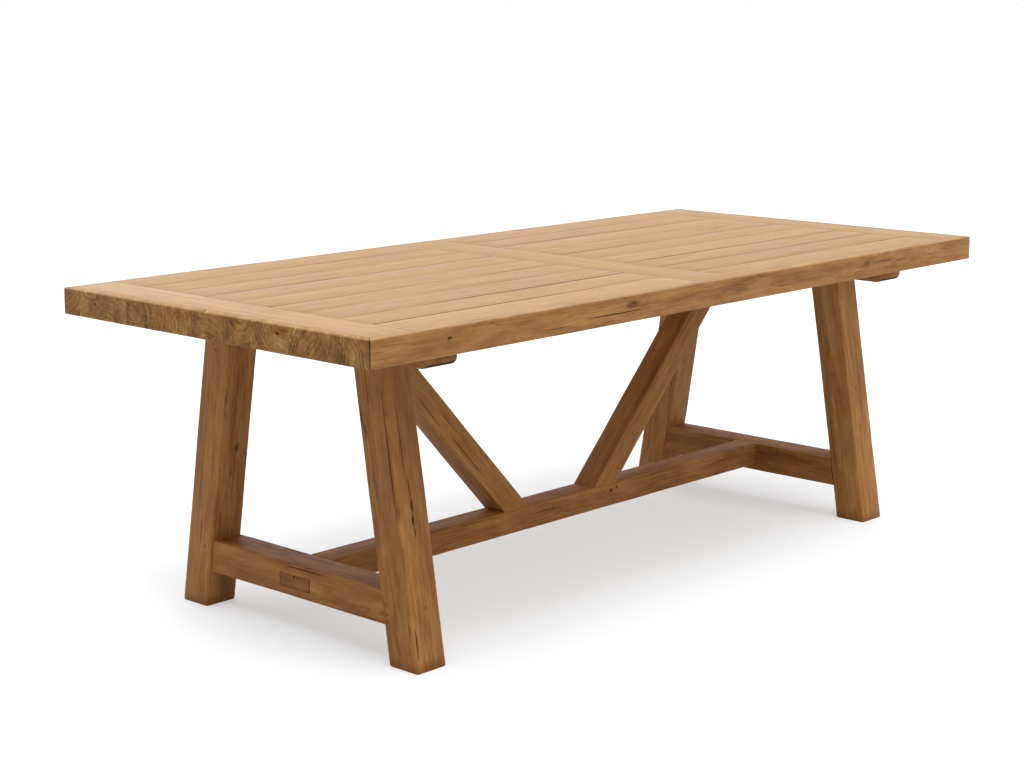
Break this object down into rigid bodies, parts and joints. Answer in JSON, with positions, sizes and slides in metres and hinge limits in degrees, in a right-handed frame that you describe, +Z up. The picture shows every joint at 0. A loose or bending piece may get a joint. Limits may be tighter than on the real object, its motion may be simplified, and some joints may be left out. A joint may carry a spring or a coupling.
{
  "type": "trestle dining table",
  "caption": "Long wooden trestle dining table: thick planked top with cross boards, splayed square legs, low cross rails, a stretcher and slanted braces.",
  "frame": {"origin": "on the floor, under the middle of the top", "axes": "+X along the table, +Y across it towards the back, +Z up"},
  "size_m": [2.2, 1, 0.75],
  "materials": {
    "top_wood": "sanded and oiled, satin",
    "edge_wood": "oiled, satin",
    "end_grain_wood": "oiled end grain, matt",
    "under_wood": "planed, matt",
    "frame_wood": "oiled, satin",
    "plug_wood": "oiled, matt",
    "fitting_steel": "zinc plated"
  },
  "bodies": {
    "root": {"end_board_left": "top_wood", "end_board_right": "top_wood", "centre_board": "top_wood", "plank_left_1": "top_wood", "plank_left_2": "top_wood", "plank_left_3": "top_wood", "plank_left_4": "top_wood", "plank_left_5": "top_wood", "plank_left_6": "top_wood", "plank_left_7": "top_wood", "plank_left_8": "top_wood", "plank_left_9": "top_wood", "plank_right_1": "top_wood", "plank_right_2": "top_wood", "plank_right_3": "top_wood", "plank_right_4": "top_wood", "plank_right_5": "top_wood", "plank_right_6": "top_wood", "plank_right_7": "top_wood", "plank_right_8": "top_wood", "plank_right_9": "top_wood", "front_edge_band": "edge_wood", "back_edge_band": "edge_wood", "left_end_blocks": "end_grain_wood", "right_end_blocks": "end_grain_wood", "trestle_batten_left": "under_wood", "trestle_batten_right": "under_wood", "brace_batten_left": "under_wood", "brace_batten_right": "under_wood", "centre_batten": "under_wood", "bearer_left": "frame_wood", "bearer_right": "frame_wood", "leg_front_left": "frame_wood", "leg_front_right": "frame_wood", "leg_back_left": "frame_wood", "leg_back_right": "frame_wood", "cross_rail_left": "frame_wood", "cross_rail_right": "frame_wood", "stretcher": "frame_wood", "brace_left": "frame_wood", "brace_right": "frame_wood", "rail_plug_left": "plug_wood", "rail_plug_right": "plug_wood", "stretcher_bolts": "fitting_steel", "barrel_nuts": "fitting_steel", "top_screws": "fitting_steel"}
  },
  "joints": []
}
